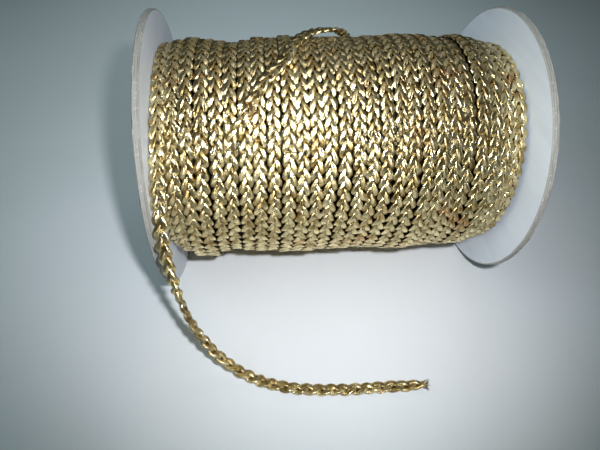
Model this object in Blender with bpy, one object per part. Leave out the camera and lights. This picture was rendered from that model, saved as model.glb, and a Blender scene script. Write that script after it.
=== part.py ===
"""A card spool of flat braided metallic cord, lying on its side with its loose end on the surface.

The spool's axis runs along X. The origin is on the surface, below the middle of the spool.
The loose end leaves the last turn beside the left flange and comes down in front, towards -Y.
Angles round the axis start at the front, -Y, and rise through the top, +Z, at 90 degrees.
"""

import math

import bmesh
import bpy
import numpy as np

MM = 0.001

# Card spool, in millimetres as all sizes here
FLANGE_DIAMETER = 82.0
FLANGE_THICKNESS = 1.8
INNER_WIDTH = 100.0
TUBE_DIAMETER = 25.0
BORE_DIAMETER = 22.0
FLAT_WIDTH = 10.0
FLANGE_STEPS = 60
TUBE_STEPS = 40
FIT_GAP = 0.3

# Wound cord: each turn is a ridge with two shoulders, a share of its width from its middle
CORD_WIDTH = 3.68
VALLEY_DEPTH = 1.1
SHOULDER_SHARE = 0.26
UNEVEN_HEIGHT = 0.25
UNEVEN_SIDE = 0.22
WINDING_STEPS = 40
SEED = 7

# Where the loose end has left the roll, the turn that it belonged to is one layer lower
LAYER = 3.1
BARE_FROM, BARE_TO = -70.0, 80.0

# Height of the roll above the spool's axis, read across it: place along X, radius
ROLL_HEIGHTS = (
    (-48.0, 31.6),
    (-44.0, 33.0),
    (-34.0, 31.8),
    (-24.0, 32.6),
    (-14.0, 33.1),
    (-4.0, 32.9),
    (5.0, 32.9),
    (9.0, 32.5),
    (18.0, 33.6),
    (28.0, 33.0),
    (32.0, 31.6),
    (37.0, 33.0),
    (42.0, 32.3),
    (46.0, 31.3),
    (49.0, 29.6),
)

# Strand pulled across the top of the roll: place along X, angle, gap below it
STRAND_DIAMETER = 2.0
STRAND_ROUTE = (
    (-32.5, 25.0, 0.3),
    (-30.4, 35.0, 0.3),
    (-27.5, 45.8, 0.3),
    (-24.6, 54.0, 0.3),
    (-22.0, 61.1, 0.3),
    (-18.2, 69.4, 0.3),
    (-15.0, 75.7, 0.3),
    (-12.8, 84.9, 0.3),
    (-10.0, 93.5, 0.4),
    (-6.0, 102.5, 0.7),
    (-1.0, 110.0, 0.9),
    (3.5, 120.0, 0.7),
    (7.0, 133.0, 0.4),
    (9.5, 148.0, 0.3),
    (11.0, 163.0, 0.3),
)

# Loose end, from where it leaves the roll to its cut tip on the surface: x, y, z
LOOSE_DIAMETER = 2.6
LOOSE_ROUTE = (
    (-47.9, -9.4, 69.65),
    (-47.9, -19.2, 65.9),
    (-47.9, -28.9, 59.9),
    (-47.9, -37.4, 52.0),
    (-47.6, -42.4, 45.0),
    (-47.1, -45.1, 39.0),
    (-45.9, -47.8, 31.0),
    (-43.6, -50.4, 21.0),
    (-39.2, -52.9, 10.6),
    (-34.0, -55.6, 4.6),
    (-26.9, -58.9, 1.6),
    (-20.5, -61.4, 1.3),
    (-14.0, -62.9, 1.3),
    (-1.2, -64.1, 1.3),
    (12.1, -64.3, 1.3),
    (23.0, -64.4, 1.3),
)
ROUTE_STEP = 5.6
CREASE_DEGREES = 35

FLANGE_RADIUS = FLANGE_DIAMETER / 2
AXIS_HEIGHT = math.sqrt(FLANGE_RADIUS**2 - (FLAT_WIDTH / 2) ** 2)
OUTER_FACE = INNER_WIDTH / 2 + FLANGE_THICKNESS
ROLL_END = INNER_WIDTH / 2 - FIT_GAP
TURNS = round(2 * ROLL_END / CORD_WIDTH)
TURN_PITCH = 2 * ROLL_END / TURNS
CORE_RADIUS = TUBE_DIAMETER / 2 + FIT_GAP

GOLD = (0.56, 0.46, 0.20)
CARD = (0.62, 0.64, 0.65)
TUBE_CARD = (0.45, 0.38, 0.29)


def finish(name, colour, metallic, roughness):
    """A plain Principled material."""
    material = bpy.data.materials.new(name)
    material.use_nodes = True
    shader = material.node_tree.nodes["Principled BSDF"]
    shader.inputs["Base Color"].default_value = (*colour, 1.0)
    shader.inputs["Metallic"].default_value = metallic
    shader.inputs["Roughness"].default_value = roughness
    return material


def place_object(name, data, material):
    """Adds a mesh or curve to the scene under its node's name."""
    piece = bpy.data.objects.new(name, data)
    data.materials.append(material)
    bpy.context.scene.collection.objects.link(piece)
    return piece


def round_solid(name, rings, material):
    """A closed solid from rings of points, each ring joined to the next and the last to the first."""
    rings = np.asarray(rings) * MM
    ring_count, steps = rings.shape[:2]
    work = bmesh.new()
    corners = [[work.verts.new(point) for point in ring] for ring in rings]
    for i in range(ring_count):
        here, there = corners[i], corners[(i + 1) % ring_count]
        for j in range(steps):
            k = (j + 1) % steps
            work.faces.new((here[j], here[k], there[k], there[j]))
    bmesh.ops.recalc_face_normals(work, faces=work.faces)
    mesh = bpy.data.meshes.new(name)
    work.to_mesh(mesh)
    work.free()
    mesh.shade_smooth()
    mesh.set_sharp_from_angle(angle=math.radians(CREASE_DEGREES))
    return place_object(name, mesh, material)


def around_axis(x, radius, angles):
    """Points round the spool's axis at the given angles in radians."""
    y = -radius * np.cos(angles)
    z = AXIS_HEIGHT + radius * np.sin(angles)
    return np.stack([np.broadcast_to(x, y.shape), y, z], axis=-1)


def flange_angles():
    """Even steps round the disc, with one step spanning the flat at the bottom."""
    half_flat = math.asin(FLAT_WIDTH / 2 / FLANGE_RADIUS)
    bottom = -math.pi / 2
    return np.linspace(bottom + half_flat, bottom + 2 * math.pi - half_flat, FLANGE_STEPS)


def card_flange(name, side, material):
    """A card disc with a round hole for the tube, and a flat where it stands. side is -1 or 1."""
    angles = flange_angles()
    inner_face = side * INNER_WIDTH / 2
    outer_face = side * OUTER_FACE
    rings = [
        around_axis(inner_face, FLANGE_RADIUS, angles),
        around_axis(outer_face, FLANGE_RADIUS, angles),
        around_axis(outer_face, CORE_RADIUS, angles),
        around_axis(inner_face, CORE_RADIUS, angles),
    ]
    return round_solid(name, rings, material)


def card_tube(material):
    """The tube that the cord is wound on, flush with the flanges' outer faces."""
    angles = np.arange(TUBE_STEPS) / TUBE_STEPS * 2 * math.pi
    rings = [
        around_axis(-OUTER_FACE, TUBE_DIAMETER / 2, angles),
        around_axis(OUTER_FACE, TUBE_DIAMETER / 2, angles),
        around_axis(OUTER_FACE, BORE_DIAMETER / 2, angles),
        around_axis(-OUTER_FACE, BORE_DIAMETER / 2, angles),
    ]
    return round_solid("spool_tube", rings, material)


def roll_radius(x):
    """Outer radius of the roll at a place along the axis."""
    places, radii = zip(*ROLL_HEIGHTS)
    return np.interp(x, places, radii)


def is_bare(angles):
    """1 at the angles where the loose end has left its turn, 0 elsewhere."""
    degrees = np.degrees(np.mod(angles + math.pi, 2 * math.pi) - math.pi)
    return ((degrees > BARE_FROM) & (degrees < BARE_TO)).astype(float)


def wound_cord(material):
    """The roll: one ring for each turn's two shoulders, and a valley between neighbours."""
    chance = np.random.default_rng(SEED)
    angles = (np.arange(WINDING_STEPS) + 0.5) / WINDING_STEPS * 2 * math.pi
    shoulder = TURN_PITCH * SHOULDER_SHARE
    phases = chance.uniform(0, 2 * math.pi, (TURNS, 2))
    crests, shifts = [], []
    for turn in range(TURNS):
        centre = -ROLL_END + (turn + 0.5) * TURN_PITCH
        wave = np.sin(2 * angles + phases[turn, 0])
        crests.append(roll_radius(centre) + UNEVEN_HEIGHT * wave)
        shifts.append(centre + UNEVEN_SIDE * np.sin(angles + phases[turn, 1]))
    crests[0] = crests[0] - LAYER * is_bare(angles)
    rings = [around_axis(-ROLL_END, CORE_RADIUS, angles)]
    rings.append(around_axis(-ROLL_END, crests[0] - VALLEY_DEPTH, angles))
    for turn in range(TURNS):
        rings.append(around_axis(shifts[turn] - shoulder, crests[turn], angles))
        rings.append(around_axis(shifts[turn] + shoulder, crests[turn], angles))
        if turn < TURNS - 1:
            between = (shifts[turn] + shifts[turn + 1]) / 2
            depth = np.minimum(crests[turn], crests[turn + 1]) - VALLEY_DEPTH
            rings.append(around_axis(between, depth, angles))
    rings.append(around_axis(ROLL_END, crests[-1] - VALLEY_DEPTH, angles))
    rings.append(around_axis(ROLL_END, CORE_RADIUS, angles))
    return round_solid("winding", rings, material)


def smooth_route(points, step):
    """Points about one step apart on the natural cubic spline through the route's own points."""
    points = np.asarray(points, float)
    lengths = np.linalg.norm(np.diff(points, axis=0), axis=1)
    at = np.concatenate([[0.0], np.cumsum(lengths)])
    count = len(points)
    system = np.eye(count)
    target = np.zeros((count, 3))
    for i in range(1, count - 1):
        before, after = lengths[i - 1], lengths[i]
        system[i, i - 1 : i + 2] = before, 2 * (before + after), after
        rise = (points[i + 1] - points[i]) / after - (points[i] - points[i - 1]) / before
        target[i] = 6 * rise
    bend = np.linalg.solve(system, target)
    places = np.linspace(0, at[-1], int(round(at[-1] / step)) + 1)
    left = np.clip(np.searchsorted(at, places, side="right") - 1, 0, count - 2)
    h = lengths[left][:, None]
    b = (places - at[left])[:, None] / h
    a = 1 - b
    curve = (a**3 - a) * bend[left] + (b**3 - b) * bend[left + 1]
    return a * points[left] + b * points[left + 1] + curve * h**2 / 6


def cord_tube(name, points, diameter, material):
    """A plain round tube with closed ends along a smooth route."""
    line = smooth_route(points, ROUTE_STEP) * MM
    curve = bpy.data.curves.new(name, "CURVE")
    curve.dimensions = "3D"
    curve.bevel_depth = diameter / 2 * MM
    curve.bevel_resolution = 2
    curve.use_fill_caps = True
    spline = curve.splines.new("POLY")
    spline.points.add(len(line) - 1)
    spline.points.foreach_set("co", np.c_[line, np.ones(len(line))].ravel())
    return place_object(name, curve, material)


def strand_points():
    """The crossing strand's route: it lies on the roll, and arches just off it behind the top."""
    x, degrees, gap = np.array(STRAND_ROUTE).T
    radius = roll_radius(x) + UNEVEN_HEIGHT + gap + STRAND_DIAMETER / 2
    return around_axis(x, radius, np.radians(degrees))


def main():
    for old in list(bpy.data.objects):
        bpy.data.objects.remove(old, do_unlink=True)
    card = finish("card", CARD, 0.0, 0.75)
    tube_card = finish("tube_card", TUBE_CARD, 0.0, 0.85)
    gold = finish("metallic_cord", GOLD, 0.8, 0.35)
    card_flange("flange_left", -1, card)
    card_flange("flange_right", 1, card)
    card_tube(tube_card)
    wound_cord(gold)
    cord_tube("crossing_strand", strand_points(), STRAND_DIAMETER, gold)
    cord_tube("loose_end", LOOSE_ROUTE, LOOSE_DIAMETER, gold)


if __name__ == "__main__":
    main()
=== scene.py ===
"""A card spool full of flat braided metallic cord, lying on its side with its loose end in front.

The spool's axis runs along X, and lengths are in metres. Angles round the axis are in degrees: they start
at the front, -Y, and rise through the top, +Z, at 90. The outer layer of cord, the turn that it ends in
and the loose end are one route, so the plait runs on unbroken from the roll to its cut tip.
"""

import math

import bpy
import numpy as np
from bpy.props import FloatProperty, FloatVectorProperty, IntProperty, PointerProperty
from mathutils import Matrix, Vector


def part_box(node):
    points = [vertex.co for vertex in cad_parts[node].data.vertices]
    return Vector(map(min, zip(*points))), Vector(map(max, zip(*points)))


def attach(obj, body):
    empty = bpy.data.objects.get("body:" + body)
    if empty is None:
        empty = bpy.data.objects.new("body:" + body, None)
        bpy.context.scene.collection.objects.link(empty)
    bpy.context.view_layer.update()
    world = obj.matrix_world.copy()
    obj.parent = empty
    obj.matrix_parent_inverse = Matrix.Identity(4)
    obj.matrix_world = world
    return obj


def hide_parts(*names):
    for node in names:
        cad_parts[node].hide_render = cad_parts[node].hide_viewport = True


bl_info = {
    "name": "Spool of Braided Cord",
    "version": (1, 0, 0),
    "blender": (4, 5, 0),
    "location": "3D View > Sidebar > Cord Spool",
    "description": "A card spool full of flat metallic braid, with its loose end",
    "category": "Add Mesh",
}

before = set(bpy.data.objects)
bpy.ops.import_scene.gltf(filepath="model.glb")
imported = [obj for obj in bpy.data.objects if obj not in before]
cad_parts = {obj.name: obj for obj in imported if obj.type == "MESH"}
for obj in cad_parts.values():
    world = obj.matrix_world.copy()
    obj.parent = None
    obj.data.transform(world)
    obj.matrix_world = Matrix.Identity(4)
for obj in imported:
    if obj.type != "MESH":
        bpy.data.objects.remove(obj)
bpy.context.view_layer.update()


def radii(node, height):
    """Smallest and largest distance of a node's corners from the spool's axis."""
    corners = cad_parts[node].data.vertices
    places = np.zeros(len(corners) * 3, np.float32)
    corners.foreach_get("co", places)
    y, z = places.reshape(-1, 3)[:, 1:].T
    away = np.hypot(y, z - height)
    return float(away.min()), float(away.max())


TUBE_LOW, TUBE_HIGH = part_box("spool_tube")
AXIS_HEIGHT = (TUBE_LOW.z + TUBE_HIGH.z) / 2
BORE_RADIUS, TUBE_RADIUS = radii("spool_tube", AXIS_HEIGHT)
HUB_RADIUS, FLANGE_RADIUS = radii("flange_right", AXIS_HEIGHT)
INNER_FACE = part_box("flange_right")[0].x
OUTER_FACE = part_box("flange_right")[1].x
ROLL_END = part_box("winding")[1].x
CORE_RADIUS = radii("winding", AXIS_HEIGHT)[0]

# Height of the roll above the spool's axis, read across it: place along X, radius
ROLL_HEIGHTS = (
    (-0.0485, 0.0329),
    (-0.0453, 0.0320),
    (-0.0423, 0.0339),
    (-0.0384, 0.0337),
    (-0.0350, 0.0326),
    (-0.0300, 0.0321),
    (-0.0257, 0.0328),
    (-0.0220, 0.0333),
    (-0.0184, 0.0331),
    (-0.0147, 0.0338),
    (-0.0073, 0.0335),
    (0.0000, 0.0333),
    (0.0073, 0.0331),
    (0.0147, 0.0338),
    (0.0200, 0.0341),
    (0.0257, 0.0340),
    (0.0294, 0.0332),
    (0.0331, 0.0330),
    (0.0367, 0.0336),
    (0.0404, 0.0331),
    (0.0441, 0.0319),
    (0.0478, 0.0312),
)

# Strand pulled across the top of the roll: place along X, angle, gap below it, thickness share
STRAND_ROUTE = (
    (-0.0312, 32.0, -0.0034, 1.0),
    (-0.0300, 37.5, -0.0018, 1.0),
    (-0.0287, 42.0, -0.0006, 1.0),
    (-0.0270, 47.0, 0.0001, 1.0),
    (-0.0246, 54.0, 0.0005, 1.0),
    (-0.0220, 61.1, 0.0005, 1.0),
    (-0.0182, 69.4, 0.0005, 1.0),
    (-0.0150, 75.7, 0.0001, 1.0),
    (-0.0128, 84.9, 0.0001, 0.95),
    (-0.0100, 93.5, 0.0003, 0.85),
    (-0.0060, 102.5, 0.0007, 0.75),
    (-0.0010, 110.0, 0.0010, 0.70),
    (0.0035, 120.0, 0.0007, 0.75),
    (0.0070, 133.0, 0.0002, 0.90),
    (0.0095, 148.0, -0.0004, 1.0),
    (0.0110, 163.0, -0.0022, 1.0),
)

# Loose end, from where it leaves the roll to its cut tip on the surface
LOOSE_ROUTE = (
    (-0.0479, -0.0094, 0.06965),
    (-0.0479, -0.0192, 0.0659),
    (-0.0479, -0.0289, 0.0599),
    (-0.0479, -0.0374, 0.0520),
    (-0.0476, -0.0424, 0.0450),
    (-0.0471, -0.0451, 0.0390),
    (-0.0459, -0.0478, 0.0310),
    (-0.0436, -0.0504, 0.0210),
    (-0.0392, -0.0529, 0.0106),
    (-0.0340, -0.0556, 0.0046),
    (-0.0269, -0.0589, 0.0016),
    (-0.0205, -0.0614, 0.0013),
    (-0.0140, -0.0629, 0.0013),
    (-0.0012, -0.0641, 0.0013),
    (0.0121, -0.0643, 0.0013),
    (0.0230, -0.0644, 0.0013),
)

# Which way the loose end's flat face looks: share of its length, direction
LOOSE_FACING = (
    (0.00, (0.0, -0.31, 0.95)),
    (0.16, (0.0, -0.66, 0.75)),
    (0.28, (0.0, -0.93, 0.35)),
    (0.35, (-0.25, -0.93, 0.25)),
    (0.41, (-0.80, -0.58, 0.10)),
    (0.46, (-0.95, -0.30, -0.05)),
    (0.52, (-0.93, -0.05, -0.35)),
    (0.60, (-0.60, 0.05, -0.80)),
    (0.70, (-0.15, 0.05, -1.0)),
    (1.00, (0.0, 0.0, -1.0)),
)

# The outer layer of cord: the angle where it leaves the roll, the angle where it has reached the left flange,
# how much more of a turn it starts with beside the right one, and the step that angles are read at
LEAVE_ANGLE = 72.0
FIRST_ANGLE = 90.0
START_TURN = 150.0
ANGLE_STEP = 0.5

# The same layer in radians travelled: the spacing of its heaves and of its strays, its climb from the layer
# below at its start, and the stretch before it leaves, over which heaves and strays fade out
HEAVE_SPACING = 0.8
STRAY_SPACING = 1.1
CLIMB = 0.8
SETTLING = 1.2

LOOSE_RINGS = 700
SEED = 41

# Section of one strand, nearly flat above and below with round shoulders: shares of half its width and
# thickness. A strand's thickness is a share of the plait's. Its angle, in radians, and its place, width and
# thickness, as shares, vary along it by the amounts below.
SECTION = np.array(
    (
        (1.0, 0.0), (0.94, 0.55), (0.78, 0.88), (0.42, 0.985), (-0.42, 0.985), (-0.78, 0.88),
        (-0.94, 0.55), (-1.0, 0.0), (-0.82, -0.78), (-0.45, -1.0), (0.45, -1.0), (0.82, -0.78),
    )
)
STRAND_SHARE = 0.52
ANGLE_VARIES = 0.16
PLACE_VARIES = 0.05
WIDTH_VARIES = 0.08
THICKNESS_VARIES = 0.06

# One strand over a full wave, as shares at degrees of the plait's angle: its place sideways, its height and
# half its width. On the roll it is pulled into long leaves. Where the cord is free, both its faces are alike.
# The corners of these curves are softened over some degrees to each side.
LEAF_SIDE = ((105, 0.76), (165, -0.18), (285, -0.76), (345, 0.18))
LEAF_HEIGHT = (
    (-10, 0.25), (15, 0.78), (45, 0.97), (75, 1.0), (105, 0.35), (135, -1.0),
    (170, 0.25), (195, 0.78), (225, 0.97), (255, 1.0), (285, 0.35), (315, -1.0),
)
LEAF_WIDTH = (
    (-15, 0.30), (15, 0.45), (45, 0.52), (75, 0.49), (105, 0.34), (135, 0.32),
    (165, 0.30), (195, 0.45), (225, 0.52), (255, 0.49), (285, 0.34), (315, 0.32),
)
FREE_SIDE = ((20, 0.26), (90, 0.68), (160, 0.26), (200, -0.26), (270, -0.68), (340, -0.26))
FREE_HEIGHT = (
    (0, 0.0), (25, 0.85), (45, 1.0), (65, 0.85), (90, 0.0), (115, -0.85), (135, -1.0), (155, -0.85),
    (180, 0.0), (205, 0.85), (225, 1.0), (245, 0.85), (270, 0.0), (295, -0.85), (315, -1.0), (335, -0.85),
)
FREE_WIDTH = (
    (0, 0.44), (45, 0.54), (90, 0.42), (135, 0.54), (180, 0.44), (225, 0.54), (270, 0.42), (315, 0.54),
)
SOFTENED = 12


class CordSettings(bpy.types.PropertyGroup):
    width: FloatProperty(
        name="Width", description="Width of the flat plait", default=0.00368, unit="LENGTH", precision=5
    )
    thickness: FloatProperty(
        name="Thickness",
        description="Thickness of the flat plait",
        default=0.0021,
        unit="LENGTH",
        precision=5,
    )
    stitch_wound: FloatProperty(
        name="Stitch, Wound",
        description="Length of one chevron on the roll",
        default=0.0035,
        unit="LENGTH",
        precision=5,
    )
    stitch_loose: FloatProperty(
        name="Stitch, Loose",
        description="Length of one chevron on the loose end",
        default=0.0035,
        unit="LENGTH",
        precision=5,
    )
    turns: IntProperty(name="Turns", description="Turns side by side in the outer layer", default=27, min=3)
    crown: FloatProperty(
        name="Crown",
        description="How far a wound turn's edges lie lower",
        default=0.0006,
        unit="LENGTH",
        precision=5,
    )
    steps: IntProperty(name="Steps", description="Rings in each strand's full wave", default=26, min=8)
    wander: FloatProperty(
        name="Wander",
        description="How far a turn strays sideways",
        default=0.00028,
        unit="LENGTH",
        precision=5,
    )
    heave: FloatProperty(
        name="Heave",
        description="How far a turn rises and dips",
        default=0.00028,
        unit="LENGTH",
        precision=5,
    )
    pale: FloatVectorProperty(
        name="Pale Gold", description="Filament where it shines", default=(1.0, 0.85, 0.48), subtype="COLOR"
    )
    deep: FloatVectorProperty(
        name="Deep Gold", description="Filament between glints", default=(0.37, 0.26, 0.09), subtype="COLOR"
    )
    # Painted shade: this dark colour is mixed into the gold down between the strands and turns and on the
    # strands' flanks, where shade falls
    shade: FloatVectorProperty(
        name="Shade",
        description="Filament down between the strands",
        default=(0.045, 0.031, 0.010),
        subtype="COLOR",
    )
    copper: FloatVectorProperty(
        name="Copper Glint",
        description="Scattered warm filaments",
        default=(0.55, 0.25, 0.08),
        subtype="COLOR",
    )


class CardSettings(bpy.types.PropertyGroup):
    warp: FloatProperty(
        name="Warp", description="How far a flange bows", default=0.00018, unit="LENGTH", precision=5
    )
    fray: FloatProperty(
        name="Edge Fray", description="Unevenness of the cut rim", default=0.00010, unit="LENGTH", precision=5
    )
    face: FloatVectorProperty(
        name="Face", description="Colour of the card's faces", default=(0.61, 0.65, 0.71), subtype="COLOR"
    )
    edge: FloatVectorProperty(
        name="Edge", description="Colour of the card's cut edge", default=(0.27, 0.26, 0.235), subtype="COLOR"
    )
    kraft: FloatVectorProperty(
        name="Tube", description="Colour of the tube's card", default=(0.40, 0.31, 0.21), subtype="COLOR"
    )


class StageSettings(bpy.types.PropertyGroup):
    floor: FloatVectorProperty(
        name="Floor", description="Colour of the floor", default=(0.67, 0.685, 0.705), subtype="COLOR"
    )
    key: FloatProperty(
        name="Key", description="Power of the lamp beside the camera", default=1.55, unit="POWER"
    )
    soft: FloatProperty(
        name="Soft", description="Power of the soft light at the left", default=0.40, unit="POWER"
    )
    sky: FloatProperty(name="Sky", description="Strength of the light all round", default=0.030)
    overhead: FloatProperty(
        name="Overhead", description="Power of the soft light above the back", default=0.24, unit="POWER"
    )


def unit(vectors):
    """The vectors at length one."""
    return vectors / np.linalg.norm(vectors, axis=-1, keepdims=True)


def smooth_step(low, high, value):
    """0 below low and 1 above high, with a smooth cubic between."""
    share = np.clip((value - low) / (high - low), 0.0, 1.0)
    return share * share * (3.0 - 2.0 * share)


def soft_noise(at, spacing, seed):
    """A smooth random curve from -1 to 1: random values one spacing apart, joined by smooth steps."""
    place = (at - at.min()) / spacing
    knots = np.random.default_rng(seed).uniform(-1.0, 1.0, int(place.max()) + 3)
    left = place.astype(int)
    share = smooth_step(0.0, 1.0, place - left)
    return knots[left] * (1.0 - share) + knots[left + 1] * share


def lengths_along(points):
    """Distance of each point from the first, along the line."""
    return np.concatenate([[0.0], np.cumsum(np.linalg.norm(np.diff(points, axis=0), axis=1))])


def spline(points, count):
    """The natural cubic spline through the points, with chord length as its parameter, at even places."""
    points = np.asarray(points, float)
    at = lengths_along(points)
    gaps = np.diff(at)
    size = len(points)
    system = np.eye(size)
    target = np.zeros_like(points)
    for i in range(1, size - 1):
        system[i, i - 1 : i + 2] = gaps[i - 1], 2.0 * (gaps[i - 1] + gaps[i]), gaps[i]
        slopes = (points[i + 1] - points[i]) / gaps[i] - (points[i] - points[i - 1]) / gaps[i - 1]
        target[i] = 6.0 * slopes
    bend = np.linalg.solve(system, target)
    places = np.linspace(0.0, at[-1], count)
    left = np.clip(np.searchsorted(at, places, side="right") - 1, 0, size - 2)
    gap = gaps[left][:, None]
    b = (places - at[left])[:, None] / gap
    a = 1.0 - b
    pull = (a**3 - a) * bend[left] + (b**3 - b) * bend[left + 1]
    return a * points[left] + b * points[left + 1] + pull * gap**2 / 6.0


def around(x, radius, degrees):
    """Points round the spool's axis."""
    angle = np.radians(degrees)
    y = -radius * np.cos(angle)
    z = AXIS_HEIGHT + radius * np.sin(angle)
    return np.stack(np.broadcast_arrays(x, y, z), axis=-1)


def outward(degrees):
    """Directions straight out from the spool's axis."""
    angle = np.radians(degrees)
    return np.stack([np.zeros_like(angle), -np.cos(angle), np.sin(angle)], axis=-1)


def roll_radius(x):
    """Outer radius of the roll at a place along the axis."""
    places, heights = zip(*ROLL_HEIGHTS)
    return np.interp(x, places, heights)


def turn_pitch(cord):
    """The roll's length shared out over its turns."""
    return 2.0 * ROLL_END / cord.turns


def wound_route(cord):
    """The outer layer from beside the right flange to where the loose end leaves: points and facing.

    Its angle falls steadily, and each full turn moves it one pitch to the left, but for the parts where it
    lies against a flange. It climbs from the layer below at its start, and heaves and wanders a little.
    """
    pitch = turn_pitch(cord)
    span = (cord.turns - 1) * 360.0
    degrees = np.arange(FIRST_ANGLE + span + START_TURN, LEAVE_ANGLE, -ANGLE_STEP)
    travelled = np.radians(degrees[0] - degrees)
    settled = smooth_step(0.0, SETTLING, travelled[-1] - travelled)
    x = pitch / 2.0 - ROLL_END + pitch * np.clip(degrees - FIRST_ANGLE, 0.0, span) / 360.0
    radius = roll_radius(x) - cord.thickness / 2.0
    radius = radius + cord.heave * settled * soft_noise(travelled, HEAVE_SPACING, SEED)
    radius = radius - 1.1 * cord.thickness * (1.0 - smooth_step(0.0, CLIMB, travelled))
    strayed = x + cord.wander * soft_noise(travelled, STRAY_SPACING, SEED + 1)
    limit = ROLL_END - 0.47 * cord.width
    start_x, start_y, start_z = LOOSE_ROUTE[0]
    leave_radius = math.hypot(start_y, start_z - AXIS_HEIGHT)
    radius = settled * radius + (1.0 - settled) * leave_radius
    x = settled * np.clip(strayed, -limit, limit) + (1.0 - settled) * start_x
    return around(x, radius, degrees), outward(degrees)


def loose_route():
    """The loose end: points and facing, read closely from its spline."""
    points = spline(LOOSE_ROUTE, LOOSE_RINGS)
    shares = np.linspace(0.0, 1.0, len(points))
    stops = [share for share, _ in LOOSE_FACING]
    ways = np.array([way for _, way in LOOSE_FACING])
    facing = np.stack([np.interp(shares, stops, ways[:, k]) for k in range(3)], axis=1)
    return points, facing


def even_plait(points, facing, stitch, cord):
    """The route read again at even steps of the plait, with the plait's angle at each: one full wave of a
    strand takes three stitches, and the stitch may change along the route."""
    at = lengths_along(points)
    steps = np.diff(at) / (3.0 * (stitch[1:] + stitch[:-1]) / 2.0)
    wave = np.concatenate([[0.0], np.cumsum(steps)])
    count = int(wave[-1] * cord.steps)
    even = np.arange(count + 1) / cord.steps
    read = [np.interp(even, wave, column) for column in (*points.T, *facing.T, at)]
    return np.stack(read[:3], axis=1), np.stack(read[3:6], axis=1), read[6], 2.0 * np.pi * even


def whole_cord(cord):
    """The wound layer and the loose end as one plaited route, and the number of its last wound ring."""
    wound, wound_facing = wound_route(cord)
    loose, loose_facing = loose_route()
    points = np.concatenate([wound, loose[1:]])
    facing = np.concatenate([wound_facing, loose_facing[1:]])
    at = lengths_along(points)
    leaves = at[len(wound) - 1]
    looser = smooth_step(leaves, leaves + 0.03, at)
    stitch = cord.stitch_wound + (cord.stitch_loose - cord.stitch_wound) * looser
    points, facing, at, wave = even_plait(points, facing, stitch, cord)
    return points, facing, at, wave, int(np.searchsorted(at, leaves))


def wave_table(corners):
    """A curve through its corners, degree and value, that repeats each full turn, softened by a running
    mean and read at each degree."""
    degrees, values = zip(*corners)
    even = np.interp(np.arange(-SOFTENED, 360 + SOFTENED), degrees, values, period=360)
    return np.convolve(even, np.full(2 * SOFTENED + 1, 1.0 / (2 * SOFTENED + 1)), "valid")


def plait(
    points, facing, at, wave, cord, reach=1.0, flat=1.0, packed=1.0, loosened=0.0, crown=0.0, seed=0
):
    """Three strands plaited flat along a route, as grids of rings, and how exposed each corner is, which is
    the mask for the painted shade.

    With u the plait's angle, strand k is at u plus k thirds of a turn. Its place sideways, its height and
    its width are the tables above, read at its own angle: packed cord takes the leaves, free cord takes the
    even plait, and a share between them is mixed. Its rings are the section above. The crown lowers the
    plait's edges by the square of the distance from its middle.
    """
    along = unit(np.gradient(points, axis=0))
    across = unit(np.cross(along, facing))
    up = np.cross(across, along)
    half_width, half_thick = cord.width / 2.0, cord.thickness / 2.0
    strand_thick = STRAND_SHARE * half_thick
    rise = (half_thick - strand_thick) * flat
    crown, reach = (np.broadcast_to(value, at.shape) for value in (crown, reach))
    leaf = [wave_table(corners) for corners in (LEAF_SIDE, LEAF_HEIGHT, LEAF_WIDTH)]
    free = [wave_table(corners) for corners in (FREE_SIDE, FREE_HEIGHT, FREE_WIDTH)]
    grids, exposed = [], []
    for k in range(3):
        uneven = soft_noise(at, 0.004, seed + 7 * k + 1)
        u = wave + 2.0 * np.pi * k / 3.0 + ANGLE_VARIES * soft_noise(at, 0.006, seed + 7 * k + 2)
        read = [np.interp(np.degrees(u), np.arange(360), table, period=360) for table in leaf + free]
        side, level, wide = (packed * read[i] + (1.0 - packed) * read[i + 3] for i in range(3))
        sideways = half_width * reach * side * (1.0 + PLACE_VARIES * uneven)
        lifted = rise * level + loosened * soft_noise(at, 0.005, seed + 7 * k + 3) - crown * side**2
        a = (half_width * reach * wide * (1.0 + WIDTH_VARIES * uneven))[:, None] * SECTION[:, 0]
        b = (strand_thick * flat * (1.0 - THICKNESS_VARIES * uneven))[:, None] * SECTION[:, 1]
        over = sideways[:, None] + a
        out = lifted[:, None] + b
        grid = points[:, None] + over[..., None] * across[:, None] + out[..., None] * up[:, None]
        grids.append(grid)
        over, out = over / half_width, out / half_thick
        exposed.append((over, out + crown[:, None] / half_thick * over**2))
    return grids, exposed


def unshaded_on_roll(pair):
    """Mask for the painted shade: 1 on the plait's outer face and 0 down between the strands and turns,
    where the gold is painted the shade colour. It falls with depth, with the cube of the distance from the
    plait's middle, and down each strand's own flanks."""
    over, out = pair
    # Painted shade: darker down each strand's flanks, the lower the corner of its section
    flank_shading = 0.12 + 0.88 * smooth_step(0.3, 0.95, SECTION[:, 1])
    return np.clip(0.55 * out + 0.5 - 0.2 * np.abs(over) ** 3, 0.0, 1.0) * flank_shading


def unshaded_all_round(pair):
    """Mask for the painted shade: 1 on the plait's surface and 0 at its heart, and less at the sides of each
    strand, where the gold is painted toward the shade colour.
    """
    over, out = pair
    # Painted shade: darker outlines at the sides of each strand
    flank_shading = 0.42 + 0.58 * smooth_step(0.1, 0.9, np.abs(SECTION[:, 1]))
    return np.clip(1.1 * np.maximum(np.abs(out), np.abs(over)) + 0.05, 0.0, 1.0) * flank_shading


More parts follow.
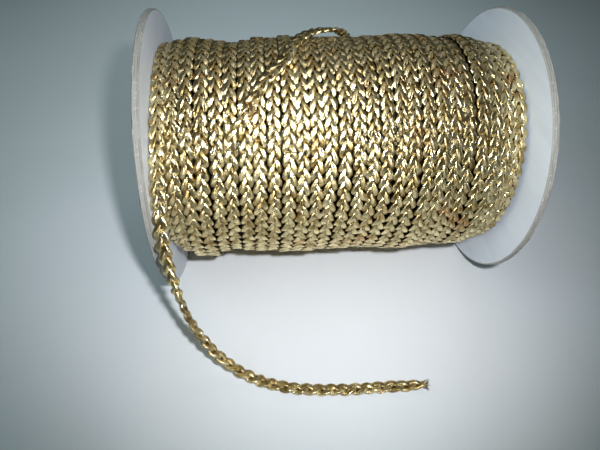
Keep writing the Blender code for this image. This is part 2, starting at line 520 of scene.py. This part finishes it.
def quads(rows, columns, joined):
    """Row and column of each quad's corners on a grid whose columns close up, and rows too if joined."""
    last = rows if joined else rows - 1
    i, j = np.meshgrid(np.arange(last), np.arange(columns), indexing="ij")
    row = np.stack([i, i + 1, i + 1, i], axis=-1).reshape(-1, 4)
    column = np.stack([j, j, j + 1, j + 1], axis=-1).reshape(-1, 4)
    return row, column


def volume(points, faces):
    """Six times the volume that the quads enclose, negative if they face inwards."""
    a, b, c, d = (points[faces[:, k]] for k in range(4))
    return float((a * np.cross(b, c)).sum() + (a * np.cross(c, d)).sum())


def grids_to_piece(name, grids, joined, exposed=None, lengths=None, sharp=None):
    """One piece from grids of rings. A grid that isn't joined into a ring is closed by a cap at each end.

    The UV map runs along the grid in its lengths and once round it. The attribute exposed says where the
    surface lies open and where it is down in a gap; on the cord the material paints shade from it.
    """
    points, faces, maps, start = [], [], [], 0
    for number, grid in enumerate(grids):
        rows, columns = grid.shape[:2]
        flat = grid.reshape(-1, 3)
        row, column = quads(rows, columns, joined)
        index = (row % rows) * columns + column % columns
        if lengths is None:
            run = np.arange(rows + 1) / rows
        else:
            run = np.append(lengths[number], lengths[number][-1])
        place = np.stack([run[row], column / columns], axis=-1)
        inside_out = volume(flat, index) < 0.0
        if inside_out:
            index, place = index[:, ::-1], place[:, ::-1]
        faces.extend((index + start).tolist())
        maps.append(place.reshape(-1, 2))
        if not joined:
            ring = np.arange(columns)
            first, last = ring, (rows - 1) * columns + ring[::-1]
            if inside_out:
                first, last = first[::-1], last[::-1]
            for end in (first, last):
                faces.append((end + start).tolist())
                maps.append(np.stack([np.full(columns, run[0]), ring / columns], axis=-1))
        points.append(flat)
        start += len(flat)
    mesh = bpy.data.meshes.new(name)
    mesh.from_pydata(np.concatenate(points).tolist(), [], faces)
    mesh.uv_layers.new(name="UVMap").data.foreach_set("uv", np.concatenate(maps).ravel())
    if exposed is not None:
        values = np.concatenate([value.ravel() for value in exposed])
        mesh.attributes.new("exposed", "FLOAT", "POINT").data.foreach_set("value", values)
    mesh.shade_smooth()
    if sharp is not None:
        mesh.set_sharp_from_angle(angle=math.radians(sharp))
    piece = bpy.data.objects.new(name, mesh)
    bpy.context.scene.collection.objects.link(piece)
    return piece


def dress(piece, material, slot, *nodes):
    """Gives a piece its material and body, and hides the nodes that it stands for. Its slot is not used."""
    piece.data.materials.append(material)
    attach(piece, "root")
    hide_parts(*nodes)


def add_node(tree, kind, inputs=(), **settings):
    """A new node with its settings, its inputs given by name or number as values or as sockets."""
    node = tree.nodes.new(kind)
    for key, value in settings.items():
        setattr(node, key, value)
    for key, value in dict(inputs).items():
        if isinstance(value, bpy.types.NodeSocket):
            tree.links.new(value, node.inputs[key])
        else:
            node.inputs[key].default_value = value
    return node


def math_node(tree, operation, a, b=0.0):
    return add_node(tree, "ShaderNodeMath", {0: a, 1: b}, operation=operation).outputs[0]


def mix_colours(tree, share, a, b):
    node = add_node(tree, "ShaderNodeMix", {"Factor": share}, data_type="RGBA")
    for socket, value in ((node.inputs[6], a), (node.inputs[7], b)):
        if isinstance(value, bpy.types.NodeSocket):
            tree.links.new(value, socket)
        else:
            socket.default_value = (*value, 1.0)
    return node.outputs[2]


def ramp(tree, value, low, high):
    """Value from low to high spread over 0 to 1, held at the ends."""
    inputs = {"Value": value, "From Min": low, "From Max": high}
    return add_node(tree, "ShaderNodeMapRange", inputs, clamp=True).outputs[0]


def node_group(name, inputs, outputs):
    """An empty shader group with named sockets, and the sockets inside it to read from and to fill."""
    group = bpy.data.node_groups.new(name, "ShaderNodeTree")
    for label, kind in inputs:
        group.interface.new_socket(label, in_out="INPUT", socket_type=kind)
    for label in outputs:
        group.interface.new_socket(label, in_out="OUTPUT", socket_type="NodeSocketFloat")
    source = group.nodes.new("NodeGroupInput").outputs
    sink = group.nodes.new("NodeGroupOutput").inputs
    return group, source, sink


def patches_group():
    """Soft patches: noise at one size, spread between two levels."""
    name = "Soft Patches"
    if name in bpy.data.node_groups:
        return bpy.data.node_groups[name]
    kinds = [("Vector", "NodeSocketVector")]
    kinds += [(label, "NodeSocketFloat") for label in ("Scale", "Low", "High")]
    group, source, sink = node_group(name, kinds, ["Mask"])
    noise = add_node(group, "ShaderNodeTexNoise", {"Vector": source["Vector"], "Scale": source["Scale"]})
    noise.inputs["Detail"].default_value = 3.0
    mask = ramp(group, noise.outputs["Fac"], source["Low"], source["High"])
    group.links.new(mask, sink["Mask"])
    return group


def crinkle_group():
    """Crinkled filament: noise drawn out along a strand, read on a ring round it so that it has no seam."""
    name = "Crinkled Filament"
    if name in bpy.data.node_groups:
        return bpy.data.node_groups[name]
    kinds = [("UV", "NodeSocketVector"), ("Along", "NodeSocketFloat"), ("Round", "NodeSocketFloat")]
    group, source, sink = node_group(name, kinds, ["Height"])
    split = add_node(group, "ShaderNodeSeparateXYZ", {"Vector": source["UV"]}).outputs
    angle = math_node(group, "MULTIPLY", split["Y"], 2.0 * math.pi)
    ring = {
        "X": math_node(group, "MULTIPLY", split["X"], source["Along"]),
        "Y": math_node(group, "MULTIPLY", math_node(group, "COSINE", angle), source["Round"]),
        "Z": math_node(group, "MULTIPLY", math_node(group, "SINE", angle), source["Round"]),
    }
    place = add_node(group, "ShaderNodeCombineXYZ", ring).outputs[0]
    noise = add_node(group, "ShaderNodeTexNoise", {"Vector": place, "Scale": 1.0, "Detail": 2.0})
    group.links.new(noise.outputs["Fac"], sink["Height"])
    return group


def use_group(tree, group, inputs):
    """The first output of a shader group placed in a material."""
    return add_node(tree, "ShaderNodeGroup", inputs, node_tree=group).outputs[0]


def new_material(name):
    material = bpy.data.materials.new(name)
    material.use_nodes = True
    return material, material.node_tree, material.node_tree.nodes["Principled BSDF"]


def gold_braid(cord):
    """Gold filament: bright where it lies open, with painted shade, dark brown, down in the gaps and on the
    strands' flanks, and warm glints here and there.
    """
    name = "gold braid"
    if name in bpy.data.materials:
        return bpy.data.materials[name]
    material, tree, shader = new_material(name)
    coords = add_node(tree, "ShaderNodeTexCoord").outputs
    exposed = add_node(tree, "ShaderNodeAttribute", attribute_name="exposed").outputs["Fac"]
    patches = patches_group()
    tone = use_group(tree, patches, {"Vector": coords["Object"], "Scale": 420.0, "Low": 0.35, "High": 0.65})
    warm = use_group(tree, patches, {"Vector": coords["Object"], "Scale": 110.0, "Low": 0.60, "High": 0.74})
    gold = mix_colours(tree, tone, tuple(cord.deep), tuple(cord.pale))
    gold = mix_colours(tree, math_node(tree, "MULTIPLY", warm, 0.6), gold, tuple(cord.copper))
    # Painted shade: where the exposed mask is low, the gold is mixed into the dark shade colour
    unshaded_share = ramp(tree, exposed, 0.15, 0.65)
    gold = mix_colours(tree, unshaded_share, tuple(cord.shade), gold)
    tree.links.new(gold, shader.inputs["Base Color"])
    shader.inputs["Metallic"].default_value = 0.97
    rough = add_node(
        tree, "ShaderNodeMapRange", {"Value": tone, "To Min": 0.36, "To Max": 0.27}
    ).outputs[0]
    tree.links.new(rough, shader.inputs["Roughness"])
    crinkle = use_group(tree, crinkle_group(), {"UV": coords["UV"], "Along": 600.0, "Round": 1.5})
    bump = add_node(tree, "ShaderNodeBump", {"Height": crinkle, "Strength": 1.0, "Distance": 0.00028})
    tree.links.new(bump.outputs[0], shader.inputs["Normal"])
    along = add_node(tree, "ShaderNodeTangent", direction_type="UV_MAP", uv_map="UVMap").outputs[0]
    tree.links.new(along, shader.inputs["Tangent"])
    shader.inputs["Anisotropic"].default_value = 0.86
    shader.inputs["Coat Weight"].default_value = 0.15
    shader.inputs["Coat Roughness"].default_value = 0.25
    return material


def card(cards):
    """Pale pressed card: faint flow streaks and specks on its faces, and a darker fibrous cut edge."""
    material, tree, shader = new_material("pressed card")
    coords = add_node(tree, "ShaderNodeTexCoord").outputs
    edge = add_node(tree, "ShaderNodeAttribute", attribute_name="exposed").outputs["Fac"]
    patches = patches_group()
    squeezed = add_node(
        tree, "ShaderNodeMapping", {"Vector": coords["Object"], "Scale": (1.0, 0.12, 1.0)}
    ).outputs[0]
    streak = use_group(tree, patches, {"Vector": squeezed, "Scale": 330.0, "Low": 0.30, "High": 0.75})
    speck = use_group(tree, patches, {"Vector": coords["Object"], "Scale": 1500.0, "Low": 0.58, "High": 0.75})
    light = tuple(min(1.0, 1.05 * part) for part in cards.face)
    dark = tuple(0.95 * part for part in cards.face)
    face = mix_colours(tree, streak, dark, light)
    fibre = mix_colours(tree, speck, tuple(cards.edge), tuple(1.7 * part for part in cards.edge))
    tree.links.new(mix_colours(tree, edge, face, fibre), shader.inputs["Base Color"])
    shader.inputs["Roughness"].default_value = 0.62
    shader.inputs["Specular IOR Level"].default_value = 0.35
    height = math_node(tree, "ADD", math_node(tree, "MULTIPLY", streak, 0.4), speck)
    bump = add_node(tree, "ShaderNodeBump", {"Height": height, "Strength": 0.35, "Distance": 0.00005})
    tree.links.new(bump.outputs[0], shader.inputs["Normal"])
    return material


def kraft(cards):
    """Brown spiral-wound card with pale fibres."""
    material, tree, shader = new_material("kraft card")
    coords = add_node(tree, "ShaderNodeTexCoord").outputs
    patches = patches_group()
    stretched = add_node(
        tree, "ShaderNodeMapping", {"Vector": coords["Object"], "Scale": (0.2, 1.0, 1.0)}
    ).outputs[0]
    fibre = use_group(tree, patches, {"Vector": stretched, "Scale": 1800.0, "Low": 0.50, "High": 0.72})
    stain = use_group(tree, patches, {"Vector": coords["Object"], "Scale": 140.0, "Low": 0.30, "High": 0.70})
    brown = mix_colours(tree, stain, tuple(0.85 * part for part in cards.kraft), tuple(cards.kraft))
    pale = tuple(1.45 * part for part in cards.kraft)
    tree.links.new(mix_colours(tree, fibre, brown, pale), shader.inputs["Base Color"])
    shader.inputs["Roughness"].default_value = 0.85
    bump = add_node(tree, "ShaderNodeBump", {"Height": fibre, "Strength": 0.3, "Distance": 0.00006})
    tree.links.new(bump.outputs[0], shader.inputs["Normal"])
    return material


class SPOOL_OT_stage(bpy.types.Operator):
    """Adds the floor, two soft lights, the light all round, the lamp beside the camera and the camera."""

    bl_idname = "spool.stage"
    bl_label = "Stage"

    # Camera place and direction, fitted to the flanges' outlines: metres and degrees
    place = (-0.02351, -0.12396, 0.12984)
    heading, dip, roll = 6.94, 45.0, 2.38
    lens, sensor = 28.0, 36.0

    # The lamp, fitted to the shadows of the cord and the roll, and the two soft lights
    lamp_place = (-0.005, -0.126, 0.150)
    lamp_heading, lamp_cone, lamp_radius = 1.0, 82.0, 0.004
    lamp_colour = (0.93, 0.96, 1.0)
    soft_place = (-0.30, -0.15, 0.30)
    soft_aim = (0.0, 0.0, 0.03)
    soft_size = 0.30
    over_place = (0.0, 0.20, 0.24)
    over_aim = (0.0, 0.18, 0.0)
    over_size = 0.25
    soft_colour = (0.76, 0.98, 1.0)

    # The light all round, from the horizon to straight above
    horizon = (0.34, 0.42, 0.42)
    zenith = (0.82, 1.0, 1.0)
    floor_size = 6.0

    def execute(self, context):
        stage = context.scene.spool_stage
        self.camera(context)
        self.lamp(context, stage)
        self.area(context, "soft", stage.soft, self.soft_size, self.soft_place, self.soft_aim)
        self.area(context, "overhead", stage.overhead, self.over_size, self.over_place, self.over_aim)
        self.world(context, stage)
        self.floor(stage)
        return {"FINISHED"}

    def aim(self, heading, dip, roll):
        """A turn that looks along a heading, dips and rolls, all in degrees."""
        heading, dip, roll = (math.radians(value) for value in (heading, dip, roll))
        ahead = np.array(
            [math.sin(heading) * math.cos(dip), math.cos(heading) * math.cos(dip), -math.sin(dip)]
        )
        level = np.array([math.cos(heading), -math.sin(heading), 0.0])
        above = np.cross(level, ahead)
        right = math.cos(roll) * level + math.sin(roll) * above
        upright = math.cos(roll) * above - math.sin(roll) * level
        return Matrix(np.stack([right, upright, -ahead], axis=1).tolist()).to_4x4()

    def camera(self, context):
        data = bpy.data.cameras.new("camera")
        data.sensor_width = self.sensor
        data.lens = self.lens
        data.clip_start = 0.005
        camera = bpy.data.objects.new("camera", data)
        context.scene.collection.objects.link(camera)
        camera.matrix_world = Matrix.Translation(self.place) @ self.aim(self.heading, self.dip, self.roll)
        context.scene.camera = camera

    def lamp(self, context, stage):
        data = bpy.data.lights.new("key", "SPOT")
        data.spot_size = math.radians(self.lamp_cone)
        data.spot_blend = 1.0
        data.shadow_soft_size = self.lamp_radius
        data.energy = stage.key
        data.color = self.lamp_colour
        lamp = bpy.data.objects.new("key", data)
        context.scene.collection.objects.link(lamp)
        lamp.matrix_world = Matrix.Translation(self.lamp_place) @ self.aim(self.lamp_heading, self.dip, 0.0)

    def area(self, context, name, power, size, place, aim):
        """A square light that no glint shows, so that the only glints are the lamp's. Its sides are levelled
        by a direction a little off upright, so that a light that looks straight down can be turned too."""
        data = bpy.data.lights.new(name, "AREA")
        data.shape = "SQUARE"
        data.size = size
        data.energy = power
        data.color = self.soft_colour
        lamp = bpy.data.objects.new(name, data)
        context.scene.collection.objects.link(lamp)
        ahead = unit(np.subtract(aim, place))
        level = unit(np.cross(ahead, (0.0, 0.001, 1.0)))
        turned = Matrix(np.stack([level, np.cross(level, ahead), -ahead], axis=1).tolist()).to_4x4()
        lamp.matrix_world = Matrix.Translation(place) @ turned
        lamp.visible_glossy = False

    def world(self, context, stage):
        world = bpy.data.worlds.new("soft light")
        world.use_nodes = True
        tree = world.node_tree
        back = tree.nodes["Background"]
        coords = add_node(tree, "ShaderNodeTexCoord").outputs
        split = add_node(tree, "ShaderNodeSeparateXYZ", {"Vector": coords["Generated"]}).outputs
        rise = ramp(tree, split["Z"], 0.0, 1.0)
        tree.links.new(mix_colours(tree, rise, self.horizon, self.zenith), back.inputs["Color"])
        back.inputs["Strength"].default_value = stage.sky
        context.scene.world = world
        context.scene.view_settings.view_transform = "Standard"

    def floor(self, stage):
        bpy.ops.mesh.primitive_grid_add(x_subdivisions=8, y_subdivisions=8, size=self.floor_size)
        floor = bpy.context.object
        floor.name = "floor"
        material, tree, shader = new_material("floor")
        coords = add_node(tree, "ShaderNodeTexCoord").outputs
        cloud = use_group(
            tree, patches_group(), {"Vector": coords["Object"], "Scale": 22.0, "Low": 0.25, "High": 0.75}
        )
        low = tuple(0.96 * part for part in stage.floor)
        pale = mix_colours(tree, cloud, low, tuple(stage.floor))
        tree.links.new(pale, shader.inputs["Base Color"])
        shader.inputs["Roughness"].default_value = 0.7
        floor.data.materials.append(material)


class SPOOL_OT_loose_end(bpy.types.Operator):
    """Adds the free end of the cord: the plait running on from the roll to its frayed, cut tip."""

    bl_idname = "spool.loose_end"
    bl_label = "Loose End"

    # The last stretch before the tip draws in, and the first one passes from wound to free plait
    frayed = 0.0065
    freed_from, freed_to = 0.035, 0.06
    loosened = 0.00010

    # Hairs at the tip: how many to a strand, their rings, lengths, thickness, spread and least height
    hairs = 10
    hair_rings = 5
    hair_short, hair_long = 0.0006, 0.0015
    hair_thick = 0.00007
    hair_spread = 0.28
    hair_lowest = 0.00015

    def execute(self, context):
        cord = context.scene.spool_cord
        points, facing, at, wave, first = whole_cord(cord)
        part = slice(first, None)
        points, facing, at, wave = points[part], facing[part], at[part], wave[part]
        run = at - at[0]
        length = float(run[-1])
        ending = smooth_step(length - self.frayed, length, run)
        free = smooth_step(self.freed_from, self.freed_to, run)
        grids, exposed = plait(
            points,
            facing,
            at,
            wave,
            cord,
            reach=1.0 - 0.12 * free - 0.30 * ending,
            packed=1.0 - free,
            loosened=self.loosened * free,
            crown=cord.crown * (1.0 - free),
            seed=SEED,
        )
        shown = [unshaded_all_round(pair) for pair in exposed]
        lengths = [at] * 3
        hair_grids = self.tip_hairs(grids)
        piece = grids_to_piece(
            "loose_end_cord",
            grids + hair_grids,
            False,
            # The hairs take one fixed value, which mixes the dark shade colour into their gold
            shown + [np.full(hair.shape[:2], 0.35) for hair in hair_grids],
            lengths + [np.linspace(0.0, 0.003, hair.shape[0]) for hair in hair_grids],
        )
        dress(piece, gold_braid(cord), "metallic_cord", "loose_end")
        return {"FINISHED"}

    def tip_hairs(self, grids):
        """Short filaments that fan out from the cut end of each strand."""
        chance = np.random.default_rng(SEED + 5)
        hairs = []
        corner = np.arange(4) / 4.0 * 2.0 * np.pi
        for grid in grids:
            end = grid[-1]
            middle = end.mean(axis=0)
            way = unit(middle - grid[-4].mean(axis=0))
            for _ in range(self.hairs):
                root = middle + 0.7 * (end[chance.integers(len(end))] - middle)
                spread = chance.normal(0.0, self.hair_spread, 3)
                spread[2] = abs(spread[2]) * 0.6
                aim = unit(way + spread)
                long = chance.uniform(self.hair_short, self.hair_long)
                share = np.linspace(0.0, 1.0, self.hair_rings)
                line = root + share[:, None] * long * aim + (share**2)[:, None] * 0.2 * long * spread
                line[:, 2] = np.maximum(line[:, 2], self.hair_lowest)
                side = unit(np.cross(aim, (0.3, 0.1, 1.0)))
                top = np.cross(side, aim)
                thick = self.hair_thick * (1.0 - 0.6 * share)
                ring = np.cos(corner)[:, None] * side + np.sin(corner)[:, None] * top
                hairs.append(line[:, None] + thick[:, None, None] * ring)
        return hairs


class SPOOL_OT_turns(bpy.types.Operator):
    """Adds the outer layer's plaited turns, and the turn below them that the loose end has bared."""

    bl_idname = "spool.turns"
    bl_label = "Wound Turns"

    # The layer is cut into pieces that stay small enough for the export
    pieces = 6

    # The bared turn: the angles that it shows between, and how far it lies below the outer layer
    bared_from, bared_to = 118.0, -168.0
    bared_drop = 0.0025

    def execute(self, context):
        cord = context.scene.spool_cord
        points, facing, at, wave, last = whole_cord(cord)
        cuts = np.linspace(0, last, self.pieces + 1).astype(int)
        for number in range(self.pieces):
            part = slice(cuts[number], cuts[number + 1] + 1)
            route = [values[part] for values in (points, facing, at, wave)]
            self.add(f"wound_turns_{number + 1}", cord, route, SEED)
        self.add("bared_turn", cord, self.bared(cord), SEED + 3)
        return {"FINISHED"}

    def bared(self, cord):
        """The last turn of the layer below, beside the left flange."""
        degrees = np.arange(self.bared_from, self.bared_to, -ANGLE_STEP)
        x = np.full_like(degrees, turn_pitch(cord) / 2.0 - ROLL_END)
        radius = roll_radius(x) - cord.thickness / 2.0 - self.bared_drop
        points = around(x, radius, degrees)
        stitch = np.full(len(degrees), cord.stitch_wound)
        return even_plait(points, outward(degrees), stitch, cord)

    def add(self, name, cord, route, seed):
        grids, exposed = plait(*route, cord, crown=cord.crown, seed=seed)
        shown = [unshaded_on_roll(pair) for pair in exposed]
        piece = grids_to_piece(name, grids, False, shown, [route[2]] * 3)
        dress(piece, gold_braid(cord), "metallic_cord", "winding")


class SPOOL_OT_crossing(bpy.types.Operator):
    """Adds the strand that was pulled across the roll, arching just off it behind the top."""

    bl_idname = "spool.crossing"
    bl_label = "Crossing Strand"

    rings = 500
    reach = 0.90

    def execute(self, context):
        cord = context.scene.spool_cord
        x, degrees, gap, flat = np.array(STRAND_ROUTE[::-1]).T
        radius = roll_radius(x) + gap + flat * cord.thickness / 2.0
        points = spline(around(x, radius, degrees), self.rings)
        stitch = np.full(len(points), cord.stitch_loose)
        points, facing, at, wave = even_plait(points, outward(self.angles(points)), stitch, cord)
        thin = np.interp(self.angles(points), degrees[::-1], flat[::-1])
        grids, exposed = plait(points, facing, at, wave, cord, reach=self.reach, flat=thin, seed=SEED + 9)
        shown = [unshaded_all_round(pair) for pair in exposed]
        piece = grids_to_piece("crossing_cord", grids, False, shown, [at] * 3)
        dress(piece, gold_braid(cord), "metallic_cord", "crossing_strand")
        return {"FINISHED"}

    def angles(self, points):
        """Angle of each point round the spool's axis, in degrees."""
        return np.degrees(np.arctan2(points[:, 2] - AXIS_HEIGHT, -points[:, 1]))


class SPOOL_OT_lower_layer(bpy.types.Operator):
    """Adds the layers below the outer one, seen only between the turns, where the whole ring is painted the
    shade colour: one closed ring whose outside rises and falls by a cosine once a turn."""

    bl_idname = "spool.lower_layer"
    bl_label = "Lower Layers"

    steps = 120
    rings_a_turn = 6
    drop = 0.0019
    ridge = 0.0005
    # Painted shade: at this value the whole ring takes the shade colour
    shown = 0.15

    # Share of the first turn that lies bare beside the left flange
    bared = 0.98

    def execute(self, context):
        cord = context.scene.spool_cord
        pitch = turn_pitch(cord)
        degrees = np.arange(self.steps) / self.steps * 360.0
        x = np.linspace(-ROLL_END, ROLL_END, cord.turns * self.rings_a_turn + 1)
        beside = (x + ROLL_END) / pitch
        dip = self.ridge * (0.5 - 0.5 * np.cos(2.0 * np.pi * beside))
        radius = roll_radius(x) - self.drop - self.ridge + dip
        radius = radius - SPOOL_OT_turns.bared_drop * (beside < self.bared)
        rings = [around(place, height, degrees) for place, height in zip(x, radius)]
        rings.append(around(ROLL_END, CORE_RADIUS, degrees))
        rings.append(around(-ROLL_END, CORE_RADIUS, degrees))
        grid = np.array(rings)
        shown = np.full(grid.shape[:2], self.shown)
        piece = grids_to_piece("lower_layers", [grid], True, [shown], sharp=50)
        dress(piece, gold_braid(cord), "metallic_cord", "winding")
        return {"FINISHED"}


class SPOOL_OT_flanges(bpy.types.Operator):
    """Adds the two card flanges, slightly bowed, with a fibrous cut rim and a flat where they stand."""

    bl_idname = "spool.flanges"
    bl_label = "Flanges"

    steps = 300
    face_rings = 9
    rim_rings = 7

    # The rim bulges outside its corners, each corner has a narrow band of its own, and plies show on it
    rim_bulge = 0.00025
    corner = 0.0003
    ply_depth = 0.00005

    def execute(self, context):
        cards = context.scene.spool_card
        material = card(cards)
        for number, (side, node) in enumerate(((-1.0, "flange_left"), (1.0, "flange_right"))):
            grid, edge = self.disc(cards, side, SEED + 20 * number)
            piece = grids_to_piece(node.replace("flange", "card"), [grid], True, [edge], sharp=38)
            dress(piece, material, "flange_card", node)
        return {"FINISHED"}

    def disc(self, cards, side, seed):
        """A profile carried round the axis: out along the inner face, over the rim's plies, back along
        the outer face and through the hub's hole. The face bows by the square of the radius."""
        degrees = np.arange(self.steps) / self.steps * 360.0
        turn = np.radians(degrees)
        outer_edge = FLANGE_RADIUS - self.rim_bulge
        out = np.append(np.linspace(HUB_RADIUS, outer_edge - self.corner, self.face_rings), outer_edge)
        rim_share = np.linspace(0.0, 1.0, self.rim_rings)
        bulge = np.sqrt(np.clip(1.0 - (2.0 * rim_share - 1.0) ** 8, 0.0, 1.0))
        plies = self.ply_depth * np.cos(rim_share * 6.0 * np.pi)
        rim = outer_edge + self.rim_bulge * bulge - plies * (bulge > 0.0)
        radius = np.concatenate([out, rim[1:-1], out[::-1]])
        depth = np.concatenate([np.zeros(len(out)), rim_share[1:-1], np.ones(len(out))])
        at_corner = np.append(np.zeros(self.face_rings), 1.0)
        is_rim = np.concatenate([at_corner, np.ones(len(rim) - 2), at_corner[::-1]])
        chance = np.random.default_rng(seed)
        rough = chance.normal(0.0, 1.0, (len(radius), self.steps))
        rough = (rough + np.roll(rough, 1, axis=1) + np.roll(rough, -1, axis=1)) / 3.0
        spread = radius[:, None] + cards.fray * rough * is_rim[:, None]
        saddle = np.sin(2.0 * turn + chance.uniform(0.0, 6.0))
        bow = saddle + 0.5 * np.sin(3.0 * turn + chance.uniform(0.0, 6.0))
        bow = cards.warp * bow[None] * (spread / FLANGE_RADIUS) ** 2
        x = side * (INNER_FACE + depth[:, None] * (OUTER_FACE - INNER_FACE) + np.abs(bow) * 0.3)
        grid = around(x, spread, degrees[None])
        grid[..., 2] = np.maximum(grid[..., 2], 0.0)
        at_hub = np.concatenate([[1.0], np.zeros(len(radius) - 2), [1.0]])
        edge = np.broadcast_to(np.maximum(is_rim, 0.6 * at_hub)[:, None], grid.shape[:2])
        return grid, edge


class SPOOL_OT_tube(bpy.types.Operator):
    """Adds the card tube, with the spiral seam of its inner ply showing in the bore."""

    bl_idname = "spool.tube"
    bl_label = "Tube"

    steps = 96
    rows = 110

    # The seam's spiral pitch, its depth, and its width as a share of that pitch
    seam_pitch = 0.032
    seam_depth = 0.00018
    seam_width = 0.018

    def execute(self, context):
        cards = context.scene.spool_card
        degrees = np.arange(self.steps) / self.steps * 360.0
        x = np.linspace(-OUTER_FACE, OUTER_FACE, self.rows)
        phase = np.mod(x[:, None] / self.seam_pitch + degrees[None] / 360.0 + 0.5, 1.0) - 0.5
        seam = self.seam_depth * np.exp(-((phase / self.seam_width) ** 2))
        bore = around(x[:, None], BORE_RADIUS + seam, degrees[None])
        outside = [around(place, TUBE_RADIUS, degrees) for place in (OUTER_FACE, 0.0, -OUTER_FACE)]
        grid = np.concatenate([bore, np.array(outside)])
        piece = grids_to_piece("card_tube", [grid], True, sharp=40)
        dress(piece, kraft(cards), "tube_card", "spool_tube")
        return {"FINISHED"}


ORDER = (
    SPOOL_OT_stage,
    SPOOL_OT_loose_end,
    SPOOL_OT_turns,
    SPOOL_OT_crossing,
    SPOOL_OT_lower_layer,
    SPOOL_OT_flanges,
    SPOOL_OT_tube,
)


class SPOOL_PT_sidebar(bpy.types.Panel):
    bl_idname = "SPOOL_PT_sidebar"
    bl_label = "Cord Spool"
    bl_space_type = "VIEW_3D"
    bl_region_type = "UI"
    bl_category = "Cord Spool"

    def draw(self, context):
        for settings in (context.scene.spool_cord, context.scene.spool_card, context.scene.spool_stage):
            box = self.layout.box()
            for name in settings.bl_rna.properties.keys():
                if name not in ("rna_type", "name"):
                    box.prop(settings, name)
        for step in ORDER:
            self.layout.operator(step.bl_idname)


CLASSES = (CordSettings, CardSettings, StageSettings, *ORDER, SPOOL_PT_sidebar)


def register():
    for item in CLASSES:
        bpy.utils.register_class(item)
    bpy.types.Scene.spool_cord = PointerProperty(type=CordSettings)
    bpy.types.Scene.spool_card = PointerProperty(type=CardSettings)
    bpy.types.Scene.spool_stage = PointerProperty(type=StageSettings)


def unregister():
    del bpy.types.Scene.spool_stage
    del bpy.types.Scene.spool_card
    del bpy.types.Scene.spool_cord
    for item in reversed(CLASSES):
        bpy.utils.unregister_class(item)


def main():
    register()
    for step in ORDER:
        group, name = step.bl_idname.split(".")
        getattr(getattr(bpy.ops, group), name)()


if __name__ == "__main__":
    main()
